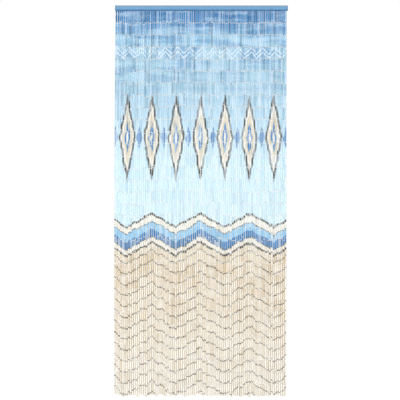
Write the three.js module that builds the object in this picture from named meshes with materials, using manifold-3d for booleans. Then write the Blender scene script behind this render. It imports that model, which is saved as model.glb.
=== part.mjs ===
// A door curtain of bamboo strands hanging from a painted wooden header lath.
// Millimetres, +Z up, +X to the right as seen from the room, front at -Y. The origin is the
// middle of the header's back face, which lies against the wall above the doorway.
import * as THREE from "three";
import { mergeVertices } from "three/addons/utils/BufferGeometryUtils.js";
import Module from "manifold-3d";

const wasm = await Module();
wasm.setup();

// The header lath. Its lowest part is the backing strip that holds the strands.
const HEADER_WIDTH = 900;
const HEADER_HEIGHT = 28;
const HEADER_DEPTH = 15;
const HEADER_EDGE_RADIUS = 3.5;
const EDGE_SEGMENTS = 3;
const STRIP_HEIGHT = 4.5;
const SEAT_GAP = 0.3;

// One strand is a row of equal bamboo tubes with a wire link between each two.
const STRAND_COUNT = 88;
const STRAND_PITCH = 10.13;
const STRANDS_LEFT_OF_MIDDLE = 442;
const TUBE_DIAMETER = 9.6;
const TUBE_LENGTH = 60.25;
const TUBES_PER_STRAND = 32;
const LINK_GAP = 2.4;
const EYE_DROP = 1;
const EYE_WIDTH = 2.2;
const EYE_DEPTH_IN_STRIP = 2;
const TUBE_EDGE = 0.8;

// How a strand strays from a straight line: it turns only a little at each fourth link, and it
// weaves about once from side to side on its way down. Its root is off its even place, and it
// hangs nearer to that place lower down. Neighbours keep a little room between them.
const TUBES_PER_BEND = 4;
const ROOT_SHIFT = 1.3;
const END_SHIFT = 0.4;
const LEAST_CLEARANCE = 0.35;
const PARTING_TURNS = 400;
const STRAY_ACROSS = 0.3;
const STRAY_IN_DEPTH = 1.6;
const STRAY_TURNS = 1.1;
const STRAY_TURNS_SPREAD = 0.5;
const END_SPREAD = 11;

// Each kind of unevenness has a channel of its own, so that no two go together.
const CHANNEL = { root: 1, length: 2, secondLength: 3, across: 4, acrossPhase: 5, depth: 6, depthPhase: 7 };
const CHANCE_BY_STRAND = 12.9898;
const CHANCE_BY_CHANNEL = 78.233;
const CHANCE_SCALE = 43758.5453;

// Corners closer than this are one corner.
const WELD = 1e-4;

// How far the outermost strands on each side have drifted at a share of the drop. A positive
// drift is to the right.
const FIELD_DRIFT = [
  { share: 0.0, leftEdge: 0.0, rightEdge: 0.0 },
  { share: 0.2, leftEdge: -3.6, rightEdge: -0.8 },
  { share: 0.4, leftEdge: -7.0, rightEdge: -1.1 },
  { share: 0.6, leftEdge: -7.4, rightEdge: -1.5 },
  { share: 0.8, leftEdge: -7.8, rightEdge: -1.8 },
  { share: 1.0, leftEdge: -8.0, rightEdge: -2.0 },
];

// Sizes worked out from the ones above.
const HEADER_TOP = HEADER_HEIGHT / 2;
const HEADER_BOTTOM = -HEADER_HEIGHT / 2;
const STRIP_TOP = HEADER_BOTTOM + STRIP_HEIGHT;
const RAIL_BOTTOM = STRIP_TOP + SEAT_GAP;
const TUBE_PITCH = TUBE_LENGTH + LINK_GAP;
const STRAND_LENGTH = TUBES_PER_STRAND * TUBE_PITCH - LINK_GAP;
const BENDS = TUBES_PER_STRAND / TUBES_PER_BEND;
const LEAST_PITCH = TUBE_DIAMETER + LEAST_CLEARANCE;

// A number from -1 to 1 that is always the same for one strand and one channel.
function unevenness(strand, channel) {
  const angle = strand * CHANCE_BY_STRAND + channel * CHANCE_BY_CHANNEL;
  const chance = Math.sin(angle) * CHANCE_SCALE;
  return 2 * (chance - Math.floor(chance)) - 1;
}

// A slow wave down the strand, from -1 to 1 and 0 at its root.
function stray(strand, turnsChannel, phaseChannel, share) {
  const turns = STRAY_TURNS + STRAY_TURNS_SPREAD * unevenness(strand, turnsChannel);
  const phase = Math.PI * unevenness(strand, phaseChannel);
  return (Math.sin(2 * Math.PI * turns * share + phase) - Math.sin(phase)) / 2;
}

// The drift of the whole field at a strand, read off the table between its two edges.
function fieldDrift(strand, share) {
  const next = Math.max(1, FIELD_DRIFT.findIndex((row) => row.share >= share));
  const above = FIELD_DRIFT[next - 1];
  const below = FIELD_DRIFT[next];
  const within = (share - above.share) / (below.share - above.share);
  const left = THREE.MathUtils.lerp(above.leftEdge, below.leftEdge, within);
  const right = THREE.MathUtils.lerp(above.rightEdge, below.rightEdge, within);
  return THREE.MathUtils.lerp(left, right, strand / (STRAND_COUNT - 1));
}

// The strands' places across at a share of the drop. Neighbours that come too close are pushed
// apart, each by half of what is missing, turn after turn until all have room.
function placesAcross(share) {
  const shift = THREE.MathUtils.lerp(ROOT_SHIFT, END_SHIFT, share);
  const places = [];
  for (let strand = 0; strand < STRAND_COUNT; strand++) {
    const even = -STRANDS_LEFT_OF_MIDDLE + strand * STRAND_PITCH + fieldDrift(strand, share);
    const weave = STRAY_ACROSS * stray(strand, CHANNEL.across, CHANNEL.acrossPhase, share);
    places.push(even + shift * unevenness(strand, CHANNEL.root) + weave);
  }
  for (let turn = 0; turn < PARTING_TURNS; turn++) {
    for (let strand = 1; strand < STRAND_COUNT; strand++) {
      const missing = LEAST_PITCH - (places[strand] - places[strand - 1]);
      if (missing > 0) {
        places[strand - 1] -= missing / 2;
        places[strand] += missing / 2;
      }
    }
  }
  return places;
}

// The places across at each bend, from the first tubes' tops to the last ones' ends.
const ACROSS_AT_BEND = Array.from({ length: BENDS + 1 }, (_, bend) => placesAcross(bend / BENDS));

// The middle of a strand at one of its bends.
function strandPoint(strand, bend) {
  const share = bend / BENDS;
  const longer = (unevenness(strand, CHANNEL.length) + unevenness(strand, CHANNEL.secondLength)) / 2;
  const inDepth = STRAY_IN_DEPTH * stray(strand, CHANNEL.depth, CHANNEL.depthPhase, share);
  return new THREE.Vector3(
    ACROSS_AT_BEND[bend][strand],
    -HEADER_DEPTH / 2 + inDepth,
    HEADER_BOTTOM - EYE_DROP - (STRAND_LENGTH + END_SPREAD * longer) * share,
  );
}

// A strand as one slim four-sided solid: its eye, its first tube's edge, then a section at
// each bend. The eye reaches up into the strip.
function strandGeometry(strand) {
  const top = strandPoint(strand, 0);
  const sections = [
    { middle: top.clone().setZ(HEADER_BOTTOM + EYE_DEPTH_IN_STRIP), width: EYE_WIDTH },
    { middle: top, width: EYE_WIDTH },
    { middle: top.clone().setZ(top.z - TUBE_EDGE), width: TUBE_DIAMETER },
  ];
  for (let bend = 1; bend <= BENDS; bend++) {
    sections.push({ middle: strandPoint(strand, bend), width: TUBE_DIAMETER });
  }
  const steps = sections.length - 1;
  const geometry = new THREE.BoxGeometry(1, 1, 1, 1, 1, steps);
  const corners = geometry.attributes.position;
  for (let i = 0; i < corners.count; i++) {
    const section = sections[Math.round((0.5 - corners.getZ(i)) * steps)];
    corners.setXYZ(
      i,
      section.middle.x + corners.getX(i) * section.width,
      section.middle.y + corners.getY(i) * section.width,
      section.middle.z,
    );
  }
  return geometry;
}

// A length of lath from a low to a high level, with its two long edges rounded at one of them.
function lathGeometry(low, high, roundedAtTop) {
  const half = HEADER_DEPTH / 2;
  const inner = half - HEADER_EDGE_RADIUS;
  const square = roundedAtTop ? low : high;
  const turned = roundedAtTop ? high - HEADER_EDGE_RADIUS : low + HEADER_EDGE_RADIUS;
  const up = roundedAtTop ? 1 : -1;
  const outline = new THREE.Shape();
  outline.moveTo(-half, square);
  outline.lineTo(half, square);
  outline.absarc(inner, turned, HEADER_EDGE_RADIUS, 0, up * Math.PI / 2, !roundedAtTop);
  outline.absarc(-inner, turned, HEADER_EDGE_RADIUS, up * Math.PI / 2, up * Math.PI, !roundedAtTop);
  outline.closePath();
  const geometry = new THREE.ExtrudeGeometry(outline, {
    depth: HEADER_WIDTH,
    bevelEnabled: false,
    curveSegments: EDGE_SEGMENTS,
  });
  // The outline's x becomes the depth, its y the height, and the length runs along X.
  const depthAxis = new THREE.Vector3(0, 1, 0);
  const heightAxis = new THREE.Vector3(0, 0, 1);
  const lengthAxis = new THREE.Vector3(1, 0, 0);
  geometry.applyMatrix4(new THREE.Matrix4().makeBasis(depthAxis, heightAxis, lengthAxis));
  geometry.translate(-HEADER_WIDTH / 2, -half, 0);
  return geometry;
}

function solidOf(geometry) {
  const bare = geometry.clone();
  bare.deleteAttribute("normal");
  bare.deleteAttribute("uv");
  const merged = mergeVertices(bare, WELD);
  return new wasm.Manifold(new wasm.Mesh({
    numProp: 3,
    vertProperties: Float32Array.from(merged.attributes.position.array),
    triVerts: Uint32Array.from(merged.index.array),
  }));
}

function geometryOf(solid) {
  const mesh = solid.getMesh();
  const geometry = new THREE.BufferGeometry();
  geometry.setAttribute("position", new THREE.BufferAttribute(mesh.vertProperties, 3));
  geometry.setIndex(new THREE.BufferAttribute(mesh.triVerts, 1));
  geometry.computeVertexNormals();
  return geometry;
}

// The strip with the eye of every strand let into it, as one body.
function hangingGeometry() {
  let hanging = solidOf(lathGeometry(HEADER_BOTTOM, STRIP_TOP, false));
  for (let strand = 0; strand < STRAND_COUNT; strand++) {
    hanging = hanging.add(solidOf(strandGeometry(strand)));
  }
  return geometryOf(hanging);
}

const bluePaint = new THREE.MeshStandardMaterial({ color: 0x4f8fc4, roughness: 0.5, metalness: 0 });
const paintedBamboo = new THREE.MeshStandardMaterial({ color: 0xcfc9b4, roughness: 0.6, metalness: 0 });

const headerRail = new THREE.Mesh(lathGeometry(RAIL_BOTTOM, HEADER_TOP, true), bluePaint);
headerRail.name = "header_rail";

const bambooStrands = new THREE.Mesh(hangingGeometry(), paintedBamboo);
bambooStrands.name = "bamboo_strands";

const curtain = new THREE.Group();
curtain.add(headerRail, bambooStrands);

export default curtain;
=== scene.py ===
import math

import bpy
import numpy as np
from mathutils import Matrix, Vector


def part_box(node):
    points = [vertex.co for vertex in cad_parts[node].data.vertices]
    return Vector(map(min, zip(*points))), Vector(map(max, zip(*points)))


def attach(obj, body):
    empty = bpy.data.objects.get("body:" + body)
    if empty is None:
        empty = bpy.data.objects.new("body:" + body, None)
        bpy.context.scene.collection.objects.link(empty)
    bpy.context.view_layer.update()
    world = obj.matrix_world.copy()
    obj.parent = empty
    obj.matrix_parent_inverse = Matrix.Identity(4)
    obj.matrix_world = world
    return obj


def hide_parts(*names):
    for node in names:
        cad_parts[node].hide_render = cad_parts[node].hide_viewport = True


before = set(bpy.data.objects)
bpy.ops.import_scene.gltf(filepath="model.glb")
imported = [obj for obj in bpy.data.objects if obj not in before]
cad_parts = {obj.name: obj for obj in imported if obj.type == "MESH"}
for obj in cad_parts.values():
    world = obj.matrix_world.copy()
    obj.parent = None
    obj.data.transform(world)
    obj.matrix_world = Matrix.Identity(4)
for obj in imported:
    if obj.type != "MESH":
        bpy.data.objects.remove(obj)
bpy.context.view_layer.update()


# The header lath: one planed strip of wood with its long edges rounded over and its sawn ends
# eased, brushed blue all round. It is fixed flat to the wall, and the paint is rubbed thin where
# hands and the wall touch its edges. Every strand hangs from its underside.
MM = 0.001
HEADER_HEIGHT = 28 * MM
HEADER_EDGE = 3.5 * MM
HEADER_END_EASE = 2.0 * MM
HEADER_EASE_STEPS = 4
HEADER_BODY_STEPS = 96
HEADER_SIDE_LEAD = 1.5 * MM
PLANING_WAVE = 0.1 * MM
LOW_SHADE_HEIGHT = 11 * MM
GREYED_HEIGHT = 16.5 * MM
END_SHADE_LENGTH = 6.6 * MM
HEADER_RELIEF = 0.12 * MM
HEADER_STROKES = (4, 420, 420)
HEADER_FIBRES = (9, 900, 900)
HEADER_SHIFT = (3, 1, 7)
HEADER_MAP_ROWS = 4
HEADER_MAP_WIDTH = 0.9
HEADER_MAP_INSET = 0.006
HEADER_END_SCALE = 0.5
HEADER_END_ACROSS = 0.02
HEADER_END_UP = 0.05
HEADER_END_STEP = 0.1

header_low, header_high = (np.array(corner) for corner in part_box("header_rail"))
header_low[2] = header_high[2] - HEADER_HEIGHT
header_bottom = header_low[2]


def paint(red, green, blue):
    """A colour from its screen values, 0 to 255, in the linear values that shaders take: a
    share v becomes ((v + 0.055) / 1.055) ** 2.4, or v / 12.92 where it is dark."""
    share = np.array([red, green, blue]) / 255
    linear = np.where(share > 0.04045, ((share + 0.055) / 1.055) ** 2.4, share / 12.92)
    return (*linear.tolist(), 1.0)


def skin(rows, columns, rows_close):
    """Quads between the neighbouring rows and columns of a grid of points. The columns close on
    themselves, and the rows too if told. They face the way of column step x row step."""
    row = np.arange(rows if rows_close else rows - 1)
    row, column = np.meshgrid(row, np.arange(columns), indexing="ij")
    next_row = (row + 1) % rows
    next_column = (column + 1) % columns
    corners = [
        row * columns + column,
        row * columns + next_column,
        next_row * columns + next_column,
        next_row * columns + column,
    ]
    return np.stack(corners, axis=-1).reshape(-1, 4)


def skin_map(row_edges, column_edges):
    """The four corners of each quad of a skin on a flat map: across from one column edge to the
    next, and up from one row edge to the next, where row_edges holds a (from, to) per row."""
    low, high = np.repeat(np.asarray(row_edges), len(column_edges) - 1, axis=0).T
    rows = len(row_edges)
    left = np.tile(column_edges[:-1], rows)
    right = np.tile(column_edges[1:], rows)
    corners = [(left, low), (right, low), (right, high), (left, high)]
    return np.stack([np.stack(corner, axis=-1) for corner in corners], axis=1)


def make_piece(name, points, faces, flat_map, material):
    """One smooth object at the origin, from points in metres, faces as lists of point numbers,
    and a flat map with one place for each corner of each face in turn."""
    mesh = bpy.data.meshes.new(name)
    mesh.from_pydata(points.reshape(-1, 3).tolist(), [], faces, shade_flat=False)
    layer = mesh.uv_layers.new(name="OFBake")
    layer.data.foreach_set("uv", np.asarray(flat_map, dtype=np.float32).ravel())
    mesh.materials.append(material)
    piece = bpy.data.objects.new(name, mesh)
    bpy.context.scene.collection.objects.link(piece)
    return piece


def mark(piece, name, values):
    """A named amount, or three of them, at each point of a piece."""
    kind, field = ("FLOAT_VECTOR", "vector") if values.shape[-1] == 3 else ("FLOAT", "value")
    layer = piece.data.attributes.new(name, kind, "POINT")
    layer.data.foreach_set(field, np.asarray(values, dtype=np.float32).ravel())


def add(tree, kind, inputs=None, **settings):
    """One node with its settings. Each input, by name or number, is a socket or a value."""
    node = tree.nodes.new(kind)
    for name, value in settings.items():
        setattr(node, name, value)
    for name, value in (inputs or {}).items():
        if isinstance(value, Amount):
            value = value.socket
        if isinstance(value, bpy.types.NodeSocket):
            tree.links.new(value, node.inputs[name])
        else:
            node.inputs[name].default_value = value
    return node


class Amount:
    """A number that changes over a surface. Arithmetic on it adds Math nodes to its tree."""

    def __init__(self, tree, socket):
        self.tree = tree
        self.socket = socket

    def math(self, operation, *others):
        places = dict(enumerate([self, *others]))
        node = add(self.tree, "ShaderNodeMath", places, operation=operation)
        return Amount(self.tree, node.outputs[0])

    def __add__(self, other):
        return self.math("ADD", other)

    def __sub__(self, other):
        return self.math("SUBTRACT", other)

    def __mul__(self, other):
        return self.math("MULTIPLY", other)

    def size(self):
        return self.math("ABSOLUTE")

    def to_and_fro(self, reach):
        """Rises evenly from 0 to the reach and falls back, over and over."""
        return self.math("PINGPONG", reach)

    def eased(self, none, full):
        """0 at the first value, 1 at the second, and smooth in between."""
        places = {0: self, 1: none, 2: full}
        node = add(self.tree, "ShaderNodeMapRange", places, interpolation_type="SMOOTHSTEP")
        return Amount(self.tree, node.outputs[0])


def over(tree, share, below, above, how="MIX"):
    """The colour above laid over the one below, by a share from 0 to 1."""
    places = {0: share, 6: below, 7: above}
    return add(tree, "ShaderNodeMix", places, data_type="RGBA", blend_type=how).outputs[2]


def mottle(tree, place, scale, detail=2.0, roughness=0.5):
    """Cloudy unevenness from about 0 to 1, with so many clouds to a metre."""
    places = {"Vector": place, "Scale": scale, "Detail": detail, "Roughness": roughness}
    return Amount(tree, add(tree, "ShaderNodeTexNoise", places).outputs[0]).eased(0.28, 0.72)


def streaks(tree, place, per_metre, shift, detail):
    """The same drawn out along one axis: place x strokes to a metre, plus a shift."""
    places = {0: place, 1: per_metre, 2: shift}
    moved = add(tree, "ShaderNodeVectorMath", places, operation="MULTIPLY_ADD").outputs[0]
    return mottle(tree, moved, 1.0, detail, 0.6)


def new_effect(name, inputs, outputs):
    """An empty shader node group with these named sockets, and its two end nodes."""
    tree = bpy.data.node_groups.new(name, "ShaderNodeTree")
    for socket, kind in inputs.items():
        tree.interface.new_socket(socket, in_out="INPUT", socket_type=kind)
    for socket, kind in outputs.items():
        tree.interface.new_socket(socket, in_out="OUTPUT", socket_type=kind)
    return tree, tree.nodes.new("NodeGroupInput"), tree.nodes.new("NodeGroupOutput")


def brush_strokes_effect():
    """How paint lies after brushing: Stroke is the ridges that the bristles leave, and Blotch
    is where the coat is thicker or thinner."""
    vector, number = "NodeSocketVector", "NodeSocketFloat"
    tree, given, made = new_effect(
        "brush_strokes",
        {"Place": vector, "Strokes per metre": vector, "Shift": vector},
        {"Stroke": number, "Blotch": number},
    )
    stroke = streaks(tree, *given.outputs[0:3], detail=4.0)
    shifted = add(tree, "ShaderNodeVectorMath", {0: given.outputs[0], 1: given.outputs[2]})
    blotch = mottle(tree, shifted.outputs[0], 38.0)
    tree.links.new(stroke.socket, made.inputs[0])
    tree.links.new(blotch.socket, made.inputs[1])
    return tree


def fibre_effect():
    """Bare wood or bamboo: fine fibres that run along it, pale with dark ones between them."""
    vector, number, colour = "NodeSocketVector", "NodeSocketFloat", "NodeSocketColor"
    tree, given, made = new_effect(
        "fibre",
        {
            "Place": vector,
            "Fibres per metre": vector,
            "Shift": vector,
            "Pale": colour,
            "Dark": colour,
        },
        {"Colour": colour, "Fibre": number},
    )
    fibre = streaks(tree, *given.outputs[0:3], detail=6.0)
    mixed = over(tree, fibre, *given.outputs[3:5])
    tree.links.new(mixed, made.inputs[0])
    tree.links.new(fibre.socket, made.inputs[1])
    return tree


brush_strokes = brush_strokes_effect()
fibre = fibre_effect()


def finish_of(name, metallic=0.0, gloss=0.5):
    """An empty material with one Principled shader: its tree, that shader and Object places."""
    material = bpy.data.materials.new(name)
    material.use_nodes = True
    tree = material.node_tree
    shader = tree.nodes["Principled BSDF"]
    shader.inputs["Metallic"].default_value = metallic
    shader.inputs["Specular IOR Level"].default_value = gloss
    place = tree.nodes.new("ShaderNodeTexCoord").outputs["Object"]
    return material, tree, shader, place


def marked(tree, name, output="Fac"):
    """What mark() wrote on the piece."""
    node = add(tree, "ShaderNodeAttribute", attribute_name=name)
    return Amount(tree, node.outputs[output])


def relief(tree, shader, height, depth):
    """A bump of that depth in metres, from a height that goes from 0 to 1."""
    places = {"Height": height, "Distance": depth, "Strength": 1.0}
    tree.links.new(add(tree, "ShaderNodeBump", places).outputs[0], shader.inputs["Normal"])


LATH_BLUE = paint(95, 145, 184)
LATH_BLUE_PALE = paint(109, 158, 197)
LATH_BLUE_THICK = paint(88, 138, 182)
LATH_LOW_SHADE = paint(62, 108, 150)
LATH_GREYED = paint(120, 140, 152)
LATH_END_SHADE = paint(70, 104, 132)
WOOD_PALE = paint(205, 176, 132)
WOOD_DARK = paint(158, 122, 80)


def header_paint():
    """Satin blue, brushed along the lath. It is greyed towards the top, darker towards the lower
    edge and the ends with painted shade, and shows pale wood where the edges are rubbed."""
    material, tree, shader, place = finish_of("header_paint", gloss=0.35)
    places = {"Place": place, "Strokes per metre": HEADER_STROKES, "Shift": HEADER_SHIFT}
    brushed = add(tree, "ShaderNodeGroup", places, node_tree=brush_strokes).outputs
    places = {
        "Place": place,
        "Fibres per metre": HEADER_FIBRES,
        "Shift": HEADER_SHIFT,
        "Pale": WOOD_PALE,
        "Dark": WOOD_DARK,
    }
    wood = add(tree, "ShaderNodeGroup", places, node_tree=fibre).outputs
    stroke = Amount(tree, brushed["Stroke"])
    coat = over(tree, stroke, LATH_BLUE, LATH_BLUE_PALE)
    coat = over(tree, Amount(tree, brushed["Blotch"]) * 0.35, coat, LATH_BLUE_THICK)
    parts = add(tree, "ShaderNodeSeparateXYZ", {0: place}).outputs
    end, top = float(header_high[0]), float(header_high[2])
    level = Amount(tree, parts[2])
    # Painted shade: darker towards the lower edge, where the lath's underside turns from the light.
    painted_low_shade = (level - float(header_bottom)).eased(LOW_SHADE_HEIGHT, 0.2 * LOW_SHADE_HEIGHT)
    coat = over(tree, painted_low_shade * (stroke * 0.15 + 0.85), coat, LATH_LOW_SHADE)
    # Greyed towards the top edge.
    greyed_top = level.eased(top - GREYED_HEIGHT, top) * 0.6
    coat = over(tree, greyed_top, coat, LATH_GREYED)
    # Painted shade: darker towards the sawn ends.
    painted_end_shade = Amount(tree, parts[0]).size().eased(end - END_SHADE_LENGTH, end) * 0.6
    coat = over(tree, painted_end_shade, coat, LATH_END_SHADE)
    rubbed = marked(tree, "rubbed") * mottle(tree, place, 240.0, 5.0, 0.7)
    bare = rubbed.eased(0.72, 0.92)
    colour = over(tree, bare * 0.8, coat, wood["Colour"])
    tree.links.new(colour, shader.inputs["Base Color"])
    dullness = stroke * 0.16 + bare * 0.2 + 0.4
    tree.links.new(dullness.socket, shader.inputs["Roughness"])
    relief(tree, shader, stroke * 0.8 + Amount(tree, wood["Fibre"]) * 0.2, HEADER_RELIEF)
    return material


def header_lath():
    """A rounded rectangle in Y and Z, carried along X. A point is a corner of the lath's core,
    plus its reach in the direction of its angle, plus a short lead along the straight side. The
    reach is the edge radius with a slow planing wave, less a quarter circle at each end."""
    ends = HEADER_END_EASE * (1 - np.sin(np.radians(np.linspace(90, 0, HEADER_EASE_STEPS + 1))))
    body = np.linspace(
        header_low[0] + HEADER_END_EASE, header_high[0] - HEADER_END_EASE, HEADER_BODY_STEPS + 1
    )
    along = np.concatenate([header_low[0] + ends[:-1], body, header_high[0] - ends[-2::-1]])
    arc = np.array([0, 0, 18, 36, 54, 72, 90, 90])
    lead = np.array([-1, 0, 0, 0, 0, 0, 0, 1]) * HEADER_SIDE_LEAD
    angle = np.radians(arc + 90 * np.arange(4)[:, None]).ravel()
    lead = np.tile(lead, 4)
    core_low = header_low + HEADER_EDGE
    core_high = header_high - HEADER_EDGE
    core_y = np.repeat([core_high[1], core_low[1], core_low[1], core_high[1]], len(arc))
    core_z = np.repeat([core_high[2], core_high[2], core_low[2], core_low[2]], len(arc))

    x = along[:, None]
    from_end = np.minimum(x - header_low[0], header_high[0] - x)
    missing = np.maximum(HEADER_END_EASE - from_end, 0)
    shrink = HEADER_END_EASE - np.sqrt(np.maximum(HEADER_END_EASE**2 - missing**2, 0))
    wave = np.sin(21 * x + 3 * angle) + 0.5 * np.sin(55 * x + 1.7 + 2 * angle)
    reach = HEADER_EDGE - shrink + PLANING_WAVE * wave
    grid = np.stack(
        [
            x + 0 * angle,
            core_y + reach * np.cos(angle) - lead * np.sin(angle),
            core_z + reach * np.sin(angle) + lead * np.cos(angle),
        ],
        axis=-1,
    )
    rubbed = np.sin(2 * angle) ** 2 + 0.6 * shrink / HEADER_END_EASE + 0 * x
    return along, grid, np.clip(rubbed, 0, 1)


def header_map(along, outline, ends):
    """The lath's skin is cut across into lengths that lie above each other on the map, the way
    round it going up. Its two sawn ends are drawn small beside them."""
    rows = len(along) - 1
    length = HEADER_BODY_STEPS // HEADER_MAP_ROWS
    lane = (np.arange(rows) - HEADER_EASE_STEPS) // length
    lane = np.clip(lane, 0, HEADER_MAP_ROWS - 1)
    start = np.array([along[:-1][lane == k].min() for k in range(HEADER_MAP_ROWS)])
    stop = np.array([along[1:][lane == k].max() for k in range(HEADER_MAP_ROWS)])
    widest = (stop - start).max()
    steps = np.stack([along[:-1] - start[lane], along[1:] - start[lane]], axis=1) / widest
    faces = skin_map(steps, np.linspace(0, 1, outline + 1))[..., ::-1]
    faces = HEADER_MAP_INSET + faces * (1 - 2 * HEADER_MAP_INSET)
    faces[..., 0] *= HEADER_MAP_WIDTH
    faces[..., 1] += np.repeat(lane, outline)[:, None]
    faces[..., 1] /= HEADER_MAP_ROWS
    small = (1 - HEADER_MAP_WIDTH) / HEADER_HEIGHT * HEADER_END_SCALE
    drawn = []
    for k, fan in enumerate(ends):
        corner = [HEADER_MAP_WIDTH + HEADER_END_ACROSS, HEADER_END_UP + HEADER_END_STEP * k]
        drawn.append((fan[..., 1:] - header_low[1:]) * small + corner)
    return faces, drawn


def build_header():
    """The lath's skin, closed at each sawn end by a fan about the end's middle."""
    along, grid, rubbed = header_lath()
    stations, outline = grid.shape[:2]
    middles = grid[[0, -1]].mean(axis=1)
    points = np.concatenate([grid.reshape(-1, 3), middles])
    here = np.arange(outline)
    after = (here + 1) % outline
    last = (stations - 1) * outline
    left_fan = np.stack([np.full(outline, stations * outline), after, here], axis=1)
    right_fan = np.stack([np.full(outline, stations * outline + 1), last + here, last + after], axis=1)
    quads = skin(stations, outline, rows_close=False)
    flat, ends = header_map(along, outline, [points[left_fan], points[right_fan]])
    flat_map = np.concatenate([part.reshape(-1, 2) for part in (flat, *ends)])
    faces = quads.tolist() + left_fan.tolist() + right_fan.tolist()
    lath = make_piece("header_lath", points, faces, flat_map, header_paint())
    mark(lath, "rubbed", np.append(rubbed.ravel(), [0, 0])[:, None])
    return lath


lath = build_header()
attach(lath, "root")
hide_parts("header_rail", "bamboo_strands")


# The bamboo tubes: slim culms cut square into even lengths, threaded into strands and painted by
# hand with the whole curtain laid flat. Little paint has run over the saw cuts. Each strand's
# line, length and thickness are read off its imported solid, so the tubes hang where it does.
EYE_DROP = 1 * MM
BENDS = 8
TUBES = 32
LINK_GAP = 2.4 * MM
TUBE_BORE = 3.3 * MM
TUBE_CHAMFER = 0.45 * MM
TUBE_SIDES = 8
TUBE_PIECES = 8
LENGTH_UNEVEN = 0.03
ODD_LENGTHS = 0.16
ODD_UNEVEN = 0.2
THICKNESS_LEAST = 0.97
THICKNESS_MOST = 1.01
TAPER_MOST = 0.015
OUT_OF_ROUND = 0.01
BOW_MOST = 0.2 * MM
SWAY_ACROSS = 0.08 * MM
SWAY_IN_DEPTH = 0.4 * MM
LAID_SLIP = 2.0 * MM
PAINTED_LENGTH = 2002.4 * MM
FIRST_SECTION = 0.8 * MM

# One row for each ring of a tube, from its lower outer edge up, in through the bore and back:
# share of the way down, push along the tube, thickness or bore, inset, bulge, bare.
TUBE_RINGS = np.array([
    [1.0, -1, 1, 0, 0, 0],
    [0.5, 0, 1, 0, 1, 0],
    [0.0, 1, 1, 0, 0, 0],
    [0.0, 0, 1, -1, 0, 0.1],
    [0.0, 0, 0, 0, 0, 0.7],
    [1.0, 0, 0, 0, 0, 0.7],
    [1.0, 0, 1, -1, 0, 0.1],
])
BULGED_RING = 1
TUBE_MAP_BANDS = [0.0, 0.4, 0.8, 0.84, 0.88, 0.92, 0.96, 1.0]

chance = np.random.default_rng(41)
strand_top = header_bottom - EYE_DROP


def strand_lines():
    """The middles of each strand's sections, (bend, strand, 3), each strand's length, and the
    thickness of them all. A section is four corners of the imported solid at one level, side by
    side along X. The first one is just under the tubes' tops."""
    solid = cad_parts["bamboo_strands"].data.vertices
    flat = np.empty(len(solid) * 3)
    solid.foreach_get("co", flat)
    corners = np.unique(flat.reshape(-1, 3).round(6), axis=0)
    corners = corners[corners[:, 2] < strand_top - FIRST_SECTION / 2]
    level = np.rint((strand_top - corners[:, 2]) * BENDS / PAINTED_LENGTH)
    corners = corners[np.lexsort((corners[:, 0], level))]
    sections = corners.reshape(BENDS + 1, -1, 4, 3)
    thickness = np.ptp(sections[-1, :, :, 0], axis=1).mean()
    middles = sections.mean(axis=2)
    return middles, strand_top - middles[-1, :, 2], thickness


strand_middles, strand_lengths, tube_thickness = strand_lines()
STRANDS = len(strand_lengths)


def on_strand(down):
    """X and Y of each strand's line, so far down from its first tube's top: straight between
    one section's middle and the next."""
    bend = down / strand_lengths[:, None] * BENDS
    above = np.clip(np.floor(bend).astype(int), 0, BENDS - 1)
    share = (bend - above)[..., None]
    strand = np.arange(STRANDS)[:, None]
    line = strand_middles[..., :2]
    return line[above, strand] * (1 - share) + line[above + 1, strand] * share


def cut_tubes():
    """Depths of the tops and bottoms of all tubes, (strand, tube): the lengths are uneven, a few
    of them much more so, and with a link between each two they fill the strand."""
    odd = chance.uniform(0, 1, (STRANDS, TUBES)) < ODD_LENGTHS
    rough = 1 + np.where(odd, ODD_UNEVEN, LENGTH_UNEVEN) * chance.uniform(-1, 1, odd.shape)
    room = strand_lengths - (TUBES - 1) * LINK_GAP
    length = rough * (room / rough.sum(axis=1))[:, None]
    top = np.cumsum(length + LINK_GAP, axis=1) - length - LINK_GAP
    return top, top + length


tube_tops, tube_bottoms = cut_tubes()
sway = chance.uniform(-1, 1, (STRANDS, TUBES, 2)) * [SWAY_ACROSS, SWAY_IN_DEPTH]
upper_ends = on_strand(tube_tops) + sway
lower_ends = on_strand(tube_bottoms) + np.roll(sway, -1, axis=1)


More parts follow.
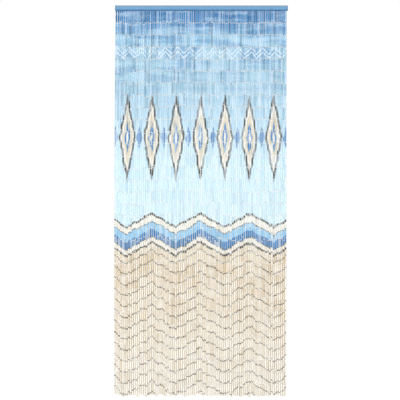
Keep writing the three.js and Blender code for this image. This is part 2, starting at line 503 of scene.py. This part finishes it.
def bamboo_tube_grids():
    """Points of all tubes, (strand, tube, ring, side, 3), where each lay when it was painted,
    how bare each ring is, and how much each point faces sideways, |cos| of its angle. A ring is
    a circle about the tube's line, a little out of round and thicker towards one end; the
    middle one is pushed aside, so that the tube is bowed."""
    down, push, thick, inset, bulge, bare = TUBE_RINGS.T
    size = chance.uniform(THICKNESS_LEAST, THICKNESS_MOST, (STRANDS, TUBES, 1))
    taper = chance.uniform(-TAPER_MOST, TAPER_MOST, (STRANDS, TUBES, 1))
    turn = chance.uniform(0, 2 * math.pi, (STRANDS, TUBES, 1, 1))
    bow_turn = chance.uniform(0, 2 * math.pi, (STRANDS, TUBES, 1))
    bow = chance.uniform(0, BOW_MOST, (STRANDS, TUBES, 1)) * bulge

    outer = tube_thickness / 2 * size * (1 + taper * (down - 0.5)) + inset * TUBE_CHAMFER
    radius = np.where(thick == 1, outer, TUBE_BORE)[..., None]
    side = np.arange(TUBE_SIDES) * 2 * math.pi / TUBE_SIDES + turn
    oval = 1 + OUT_OF_ROUND * np.cos(2 * (side - turn)) * thick[:, None]
    upper = upper_ends[:, :, None]
    middle = upper + (lower_ends[:, :, None] - upper) * down[:, None]
    middle = middle + np.stack([bow * np.cos(bow_turn), bow * np.sin(bow_turn)], axis=-1)
    length = (tube_bottoms - tube_tops)[..., None]
    depth = tube_tops[..., None] + length * down + push * TUBE_CHAMFER

    across = radius * oval * np.cos(side)
    points = np.stack(
        [
            middle[..., 0, None] + across,
            middle[..., 1, None] + radius * oval * np.sin(side),
            (strand_top - depth)[..., None] + 0 * side,
        ],
        axis=-1,
    )
    slip = chance.uniform(-LAID_SLIP, LAID_SLIP, (STRANDS, 1, 1))
    even = np.linspace(strand_middles[0, 0, 0], strand_middles[0, -1, 0], STRANDS)
    laid_down = EYE_DROP + depth * PAINTED_LENGTH / strand_lengths[:, None, None] + slip
    laid = np.stack(
        [
            even[:, None, None, None] - even.mean() + across,
            laid_down[..., None] + 0 * side,
            down[:, None] + 0 * side,
        ],
        axis=-1,
    )
    return points, laid, bare, np.abs(np.cos(side)) + 0 * depth[..., None]


# The design: a shaded blue ground, a zigzag border, bordered lozenges in a row, a chevron band
# and rows of fine zigzag on sand. It is geometry in metres across and down the flat curtain.
BORDER_DOWN = 0.19
BORDER_HALF_PITCH = 0.0316
BORDER_SLOPE = 1.1
BORDER_SPACING = 0.022
LOZENGE_PITCH = 0.1265
LOZENGE_MIDDLE = 0.66
LOZENGE_HALF_WIDTH = 0.045
LOZENGE_HALF_HEIGHT = 0.23
LOZENGE_BLUR = 0.03
SMALL_HALF_WIDTH = 0.016
SMALL_HALF_HEIGHT = 0.06
CHEVRON_TOP = 1.05
CHEVRON_RISE = 0.07
CHEVRON_HEIGHT = 0.162
CHEVRON_BLUR = 0.0015
ROW_PITCH = 0.057
ROW_SLOPE = 0.28
HAND_ACROSS = 0.006
HAND_DOWN = 0.008
WASH_LENGTH = 2.1
TUBE_STROKES = (420, 420, 14)
TUBE_FIBRES = (1500, 1500, 45)
TUBE_SHIFT = 40.0
TUBE_RELIEF = 0.06 * MM
BLUE = paint(70, 132, 190)
BLUE_PALE = paint(146, 202, 238)
AQUA = paint(212, 238, 251)
SAND = paint(230, 214, 184)
CREAM = paint(246, 240, 228)
TAUPE = paint(84, 78, 66)
BORDER_WHITE = paint(232, 244, 252)
BAMBOO_PALE = paint(228, 213, 182)
BAMBOO_DARK = paint(188, 158, 114)
BRUSH_SHADE = paint(120, 124, 128)
LOZENGE_LAYERS = ((1.0, TAUPE), (0.76, CREAM), (0.6, SAND), (0.36, BLUE), (0.16, CREAM))
CHEVRON_LAYERS = (
    (0.0, TAUPE),
    (0.012, CREAM),
    (0.045, BLUE_PALE),
    (0.085, BLUE),
    (0.125, CREAM),
    (0.15, TAUPE),
)
CHEVRON_OUTLINES = (0.045, 0.125)
GROUND = {
    0.0: paint(59, 131, 184),
    0.07: paint(82, 149, 195),
    0.14: paint(152, 200, 223),
    0.24: paint(158, 199, 217),
    0.38: paint(169, 206, 223),
    0.55: paint(187, 219, 236),
    0.8: AQUA,
    1.1: AQUA,
}
SAND_GROUND = {1.1: SAND, 1.45: paint(242, 228, 204), 2.0: paint(252, 245, 232)}
# Colours down the curtain on the sides that face the next tubes: thinner paint, and painted shade
# between the tubes, darker near the top and the bottom.
SIDE_PAINT_AND_SHADE = {
    0.0: paint(28, 108, 194),
    0.12: paint(80, 152, 214),
    0.24: paint(154, 208, 242),
    0.45: paint(188, 226, 248),
    0.75: paint(202, 230, 243),
    1.1: paint(212, 232, 238),
    1.35: paint(126, 112, 90),
}
DARKER_TUBES = {
    0.0: paint(112, 126, 142),
    0.38: paint(150, 164, 174),
    0.85: paint(208, 222, 228),
    1.3: paint(212, 194, 166),
    1.8: paint(230, 220, 202),
}
PALER_TUBES = {0.0: paint(214, 236, 255), 1.0: paint(244, 250, 255), 1.3: paint(255, 252, 244)}


def wash(tree, down, stops):
    """A ground colour that changes down the curtain, from {metres down: paint}."""
    ramp = add(tree, "ShaderNodeValToRGB", {0: down * (1 / WASH_LENGTH)})
    elements = ramp.color_ramp.elements
    for k, (depth, colour) in enumerate(stops.items()):
        stop = elements[k] if k < len(elements) else elements.new(depth / WASH_LENGTH)
        stop.position = depth / WASH_LENGTH
        stop.color = colour
    return ramp.outputs[0]


def painted_design(tree, laid):
    """Layers from the ground up. A line is where the distance to its middle is small, a lozenge
    where |across| / half width + |down| / half height is below 1, and a chevron is a level that
    goes to and fro with the way across."""
    parts = add(tree, "ShaderNodeSeparateXYZ", {0: laid}).outputs
    flat = add(tree, "ShaderNodeCombineXYZ", {0: parts[0], 1: parts[1]}).outputs[0]
    hand = mottle(tree, flat, 26.0, 3.0)
    across = Amount(tree, parts[0]) + (hand - 0.5) * HAND_ACROSS
    down = Amount(tree, parts[1]) + (mottle(tree, flat, 17.0, 3.0) - 0.5) * HAND_DOWN

    colour = wash(tree, down, GROUND)
    broad = streaks(tree, flat, (5, 24, 1), (2, 9, 0), 5.0)
    colour = over(tree, (broad * down.eased(0.75, 0.1)).eased(0.35, 1.0) * 0.5, colour, AQUA)
    colour = over(tree, broad.eased(0.6, 0.2) * down.eased(0.6, 0.25) * 0.42, colour, BLUE)

    border = down - (across + 0.5).to_and_fro(BORDER_HALF_PITCH) * BORDER_SLOPE - BORDER_DOWN
    upper_line = border.size().eased(0.006, 0.003)
    lower_line = (border - BORDER_SPACING).size().eased(0.006, 0.003)
    colour = over(tree, (upper_line + lower_line) * 0.85, colour, BORDER_WHITE)

    aside = across.to_and_fro(LOZENGE_PITCH / 2)
    level = (down - LOZENGE_MIDDLE).size()
    lozenge = aside * (1 / LOZENGE_HALF_WIDTH) + level * (1 / LOZENGE_HALF_HEIGHT)
    for reach, layer in LOZENGE_LAYERS:
        inside = lozenge.eased(reach + LOZENGE_BLUR, reach - LOZENGE_BLUR)
        colour = over(tree, inside, colour, layer)
    small = (aside - LOZENGE_PITCH / 2).size() * (1 / SMALL_HALF_WIDTH)
    small = small + level * (1 / SMALL_HALF_HEIGHT)
    colour = over(tree, small.eased(1.05, 0.9) * 0.85, colour, BLUE)

    chevron = down - across.to_and_fro(LOZENGE_PITCH) * (CHEVRON_RISE / LOZENGE_PITCH)
    chevron = chevron - CHEVRON_TOP
    ground = over(tree, broad.eased(0.3, 0.8) * 0.5, wash(tree, down, SAND_GROUND), CREAM)
    for start, layer in (*CHEVRON_LAYERS, (CHEVRON_HEIGHT, ground)):
        below = chevron.eased(start - CHEVRON_BLUR, start + CHEVRON_BLUR)
        colour = over(tree, below, colour, layer)
    for start in CHEVRON_OUTLINES:
        edge = (chevron - start).size().eased(0.004, 0.002)
        colour = over(tree, edge * 0.8, colour, TAUPE)

    zigzag = chevron - across.to_and_fro(LOZENGE_PITCH / 4) * ROW_SLOPE - CHEVRON_HEIGHT
    row = (zigzag.to_and_fro(ROW_PITCH / 2) - ROW_PITCH / 2).size().eased(0.0042, 0.0022)
    row = row * zigzag.eased(0.01, 0.02)
    dabbed = mottle(tree, flat, 130.0, 1.0).eased(0.05, 0.5) * 0.55 + 0.35
    return over(tree, row * dabbed, colour, TAUPE)


def bamboo_finish():
    """The design brushed on bamboo. Each tube took the paint a little differently, the fibres
    show through where it is thin, and it is chipped near the bare saw cuts. The sides that face
    the next tubes take their own colours: thinner paint, and painted shade between the tubes."""
    material, tree, shader, place = finish_of("painted_bamboo", gloss=0.15)
    laid = marked(tree, "laid", "Vector").socket
    tube = add(tree, "ShaderNodeSeparateXYZ", {0: marked(tree, "tube", "Vector")}).outputs
    places = {0: marked(tree, "tube", "Vector"), "Scale": TUBE_SHIFT}
    shift = add(tree, "ShaderNodeVectorMath", places, operation="SCALE").outputs[0]
    places = {"Place": place, "Strokes per metre": TUBE_STROKES, "Shift": shift}
    brushed = add(tree, "ShaderNodeGroup", places, node_tree=brush_strokes).outputs
    places = {
        "Place": place,
        "Fibres per metre": TUBE_FIBRES,
        "Shift": shift,
        "Pale": BAMBOO_PALE,
        "Dark": BAMBOO_DARK,
    }
    wood = add(tree, "ShaderNodeGroup", places, node_tree=fibre).outputs
    stroke = Amount(tree, brushed["Stroke"])
    blotch = Amount(tree, brushed["Blotch"])
    fibres = Amount(tree, wood["Fibre"])

    colour = painted_design(tree, laid)
    darker = Amount(tree, tube[0]).eased(0.5, 1.0) * 0.5
    paler = Amount(tree, tube[0]).eased(0.5, 0.05) * 0.38
    parts = add(tree, "ShaderNodeSeparateXYZ", {0: laid}).outputs
    down = Amount(tree, parts[1])
    colour = over(tree, darker, colour, wash(tree, down, DARKER_TUBES), "MULTIPLY")
    colour = over(tree, paler, colour, wash(tree, down, PALER_TUBES))
    colour = over(tree, stroke * 0.12 + blotch * 0.06, colour, BRUSH_SHADE, "MULTIPLY")
    # Painted shade and thinner paint on the sides that face the next tubes.
    side_paint_and_shade = marked(tree, "sideways").eased(0.55, 1.0) * (down.eased(0.2, 1.5) * 0.25 + 0.65)
    colour = over(tree, side_paint_and_shade, colour, wash(tree, down, SIDE_PAINT_AND_SHADE))

    near_cut = (Amount(tree, parts[2]) - 0.5).size().eased(0.48, 0.5)
    chipped = (near_cut * mottle(tree, place, 900.0, 3.0)).eased(0.6, 0.8)
    thin = (fibres * Amount(tree, tube[1])).eased(0.6, 0.95) * 0.22
    showing = thin.math("MAXIMUM", chipped).math("MAXIMUM", marked(tree, "bare"))
    colour = over(tree, showing, colour, wood["Colour"])
    tree.links.new(colour, shader.inputs["Base Color"])
    dullness = stroke * 0.14 + showing * 0.2 + 0.42
    tree.links.new(dullness.socket, shader.inputs["Roughness"])
    relief(tree, shader, stroke * 0.4 + fibres * 0.6, TUBE_RELIEF)
    return material


def build_tubes():
    """The strands in groups side by side, one piece for each. On its map every tube has a cell,
    strands up and tubes across."""
    points, laid, bare, sideways = bamboo_tube_grids()
    rings = len(TUBE_RINGS)
    per_tube = rings * TUBE_SIDES
    tube_chance = chance.uniform(0, 1, (STRANDS, TUBES, 1, 3))
    strand_chance = chance.uniform(0, 1, (STRANDS, 1, 1, 1))
    tube_chance[..., :1] = 0.75 * tube_chance[..., :1] + 0.25 * strand_chance
    quads = skin(rings, TUBE_SIDES, rows_close=True)
    bands = np.stack([TUBE_MAP_BANDS[:-1], TUBE_MAP_BANDS[1:]], axis=1)
    cell = skin_map(bands, np.linspace(0, 1, TUBE_SIDES + 1)) * 0.94 + 0.03
    material = bamboo_finish()
    pieces = []
    for k, strands in enumerate(np.array_split(np.arange(STRANDS), TUBE_PIECES)):
        tubes = len(strands) * TUBES
        starts = np.arange(tubes)[:, None, None] * per_tube
        corner = np.stack(np.divmod(np.arange(tubes), TUBES)[::-1], axis=-1)[:, None, None]
        flat_map = (corner + cell) / [TUBES, len(strands)]
        faces = (starts + quads).reshape(-1, 4).tolist()
        piece = make_piece(f"bamboo_tubes_{k + 1}", points[strands], faces, flat_map, material)
        mark(piece, "laid", laid[strands])
        mark(piece, "sideways", sideways[strands][..., None])
        same = np.broadcast_to(tube_chance[strands], (len(strands), TUBES, per_tube, 3))
        mark(piece, "tube", same)
        mark(piece, "bare", np.tile(np.repeat(bare, TUBE_SIDES), tubes)[:, None])
        sharpen_cuts(piece)
        pieces.append(piece)
    return pieces


def sharpen_cuts(piece):
    """Each ring of edges is sharp but for the bulged one, so the saw cuts stay crisp."""
    mesh = piece.data
    ends = np.empty(len(mesh.edges) * 2, dtype=np.int32)
    mesh.edges.foreach_get("vertices", ends)
    ring = ends.reshape(-1, 2) // TUBE_SIDES
    sharp = (ring[:, 0] == ring[:, 1]) & (ring[:, 0] % len(TUBE_RINGS) != BULGED_RING)
    layer = mesh.attributes.new("sharp_edge", "BOOLEAN", "EDGE")
    layer.data.foreach_set("value", sharp)


for piece in build_tubes():
    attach(piece, "root")
    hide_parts("bamboo_strands")


# The wire links: steel wire bent into an oval eye in each end of each tube, the eyes hooked
# through one another. One more eye, driven into the header, carries each strand, and a last
# one under the lowest tube keeps it on.
WIRE_RADIUS = 0.4 * MM
EYE_HALF_HEIGHT = 1.5 * MM
EYE_HALF_WIDTH = 1.2 * MM
EYE_OFFSET = EYE_HALF_HEIGHT - WIRE_RADIUS
LAST_EYE_OFFSET = 0.3 * MM
EYE_TURN = 0.6
EYE_STEPS = 8
WIRE_SIDES = 4
WIRE_PIECES = 4
STEEL_BRIGHT = paint(196, 210, 224)
STEEL_TARNISHED = paint(150, 158, 166)


def eye_middles():
    """Middles and turns of all eyes, strand by strand from the top: the one in the header, an
    upper and a lower one a quarter turn apart in each link, and the last one."""
    upper = np.concatenate([upper_ends, (strand_top - tube_tops)[..., None]], axis=-1)
    lower = np.concatenate([lower_ends, (strand_top - tube_bottoms)[..., None]], axis=-1)
    link = (lower[:, :-1] + upper[:, 1:]) / 2
    drop = np.array([0, 0, EYE_OFFSET])
    pairs = np.stack([link + drop, link - drop], axis=2).reshape(STRANDS, -1, 3)
    first = upper[:, :1] + [0, 0, EYE_DROP / 2]
    last = lower[:, -1:] - [0, 0, LAST_EYE_OFFSET]
    middles = np.concatenate([first, pairs, last], axis=1)
    turns = chance.uniform(-EYE_TURN, EYE_TURN, middles.shape[:2])
    turns[:, 2::2] += math.pi / 2
    return middles, turns


def wire_eyes():
    """Points of all eyes, (strand, eye, step, side, 3). The wire's middle goes round an upright
    oval, cos along a level direction and sin along Z, and its skin is a circle about that in
    the plane of the oval's outward direction and the level one square to it."""
    middles, turns = eye_middles()
    turns = turns[..., None, None]
    level = np.stack([np.cos(turns), np.sin(turns), 0 * turns], axis=-1)
    square = np.stack([-np.sin(turns), np.cos(turns), 0 * turns], axis=-1)
    up = np.array([0.0, 0.0, 1.0])
    step = (np.arange(EYE_STEPS) * 2 * math.pi / EYE_STEPS)[:, None, None]
    side = (np.arange(WIRE_SIDES) * 2 * math.pi / WIRE_SIDES)[:, None]
    outward = np.cos(step) * level + np.sin(step) * up
    oval = EYE_HALF_WIDTH * np.cos(step) * level + EYE_HALF_HEIGHT * np.sin(step) * up
    round_wire = WIRE_RADIUS * (np.cos(side) * outward + np.sin(side) * square)
    return middles[:, :, None, None] + oval + round_wire


def wire_finish():
    """Drawn steel, greyed in patches where it has tarnished."""
    material, tree, shader, place = finish_of("link_wire", metallic=1.0)
    tarnish = mottle(tree, place, 700.0, 3.0)
    colour = over(tree, tarnish, STEEL_BRIGHT, STEEL_TARNISHED)
    tree.links.new(colour, shader.inputs["Base Color"])
    tree.links.new((tarnish * 0.25 + 0.28).socket, shader.inputs["Roughness"])
    return material


def build_wires():
    """The eyes in groups of strands, one piece for each, with a cell for each eye on its map."""
    points = wire_eyes()
    eyes = points.shape[1]
    quads = skin(EYE_STEPS, WIRE_SIDES, rows_close=True)
    steps = np.linspace(0, 1, EYE_STEPS + 1)
    cell = skin_map(np.stack([steps[:-1], steps[1:]], axis=1), np.linspace(0, 1, WIRE_SIDES + 1))
    cell = cell[..., ::-1] * 0.9 + 0.05
    material = wire_finish()
    pieces = []
    for k, strands in enumerate(np.array_split(np.arange(STRANDS), WIRE_PIECES)):
        count = len(strands) * eyes
        starts = np.arange(count)[:, None, None] * EYE_STEPS * WIRE_SIDES
        corner = np.stack(np.divmod(np.arange(count), eyes), axis=-1)[:, None, None]
        flat_map = (corner + cell) / [len(strands), eyes]
        faces = (starts + quads).reshape(-1, 4).tolist()
        pieces.append(make_piece(f"link_wires_{k + 1}", points[strands], faces, flat_map, material))
    return pieces


for piece in build_wires():
    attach(piece, "root")
    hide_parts("bamboo_strands")


# The studio: a pale floor just below the strands, a white surround and three large soft lamps.
# The camera looks square at the curtain from far off, as in the photograph.
FLOOR_LEVEL = -2.1
FLOOR_HALF = 9.0
FLOOR_GLOW = 1.28
FLOOR_GLOW_SHARE = 0.75
SURROUND_LIGHT = 0.62


def build_floor():
    """A level square, painted nearly white, and lit from within for the camera alone, so that it
    stays pale without lighting the strands from below."""
    mesh = bpy.data.meshes.new("floor")
    corners = np.array([[-1, -1], [1, -1], [1, 1], [-1, 1]]) * FLOOR_HALF
    points = [(x, y, FLOOR_LEVEL) for x, y in corners.tolist()]
    mesh.from_pydata(points, [], [(0, 1, 2, 3)])
    material, tree, shader, place = finish_of("floor")
    shade = over(tree, mottle(tree, place, 3.0), paint(226, 226, 226), paint(232, 232, 231))
    tree.links.new(shade, shader.inputs["Base Color"])
    shader.inputs["Roughness"].default_value = 0.9
    seen = tree.nodes.new("ShaderNodeLightPath").outputs["Is Camera Ray"]
    glow = add(tree, "ShaderNodeEmission", {"Color": (1, 1, 1, 1), "Strength": FLOOR_GLOW})
    places = {0: Amount(tree, seen) * FLOOR_GLOW_SHARE, 1: shader.outputs[0], 2: glow.outputs[0]}
    shown = add(tree, "ShaderNodeMixShader", places)
    tree.links.new(shown.outputs[0], tree.nodes["Material Output"].inputs["Surface"])
    mesh.materials.append(material)
    floor = bpy.data.objects.new("floor", mesh)
    bpy.context.scene.collection.objects.link(floor)
    return floor


build_floor()

world = bpy.data.worlds.new("surround")
world.use_nodes = True
bpy.context.scene.world = world
surround = world.node_tree
lighting = surround.nodes["Background"]
lighting.inputs["Color"].default_value = (1, 1, 1, 1)
lighting.inputs["Strength"].default_value = SURROUND_LIGHT
backdrop = add(surround, "ShaderNodeBackground", {"Color": (1, 1, 1, 1), "Strength": 1.0})
seen = surround.nodes.new("ShaderNodeLightPath").outputs["Is Camera Ray"]
places = {0: seen, 1: lighting.outputs[0], 2: backdrop.outputs[0]}
shown = add(surround, "ShaderNodeMixShader", places)
surround.links.new(shown.outputs[0], surround.nodes["World Output"].inputs["Surface"])


def soft_lamp(name, place, towards, size, watts):
    """A square lamp that faces a point."""
    lamp = bpy.data.lights.new(name, "AREA")
    lamp.size = size
    lamp.energy = watts
    holder = bpy.data.objects.new(name, lamp)
    bpy.context.scene.collection.objects.link(holder)
    holder.location = place
    way = np.array(towards) - np.array(place)
    level = math.hypot(way[0], way[1])
    holder.rotation_euler = (math.atan2(level, -way[2]), 0, math.atan2(-way[0], way[1]))


soft_lamp("key", (-3.2, -4.6, -0.9), (0, 0, -1.4), 3.0, 170)
soft_lamp("fill", (3.4, -4.4, -1.4), (0, 0, -1.7), 3.0, 125)
soft_lamp("top", (0, -1.6, 2.8), (0, 0, -0.4), 1.6, 12)

CAMERA_DISTANCE = 7.0
PICTURE_WIDTH = 2.0844
PICTURE_MIDDLE = (-0.00756, -0.9993)
SENSOR = 36.0

camera = bpy.data.cameras.new("camera")
camera.sensor_width = SENSOR
camera.lens = SENSOR * (CAMERA_DISTANCE - 7.5 * MM) / PICTURE_WIDTH
holder = bpy.data.objects.new("camera", camera)
bpy.context.scene.collection.objects.link(holder)
holder.location = (PICTURE_MIDDLE[0], -CAMERA_DISTANCE, PICTURE_MIDDLE[1])
holder.rotation_euler = (math.pi / 2, 0, 0)
bpy.context.scene.camera = holder
bpy.context.scene.view_settings.view_transform = "Standard"
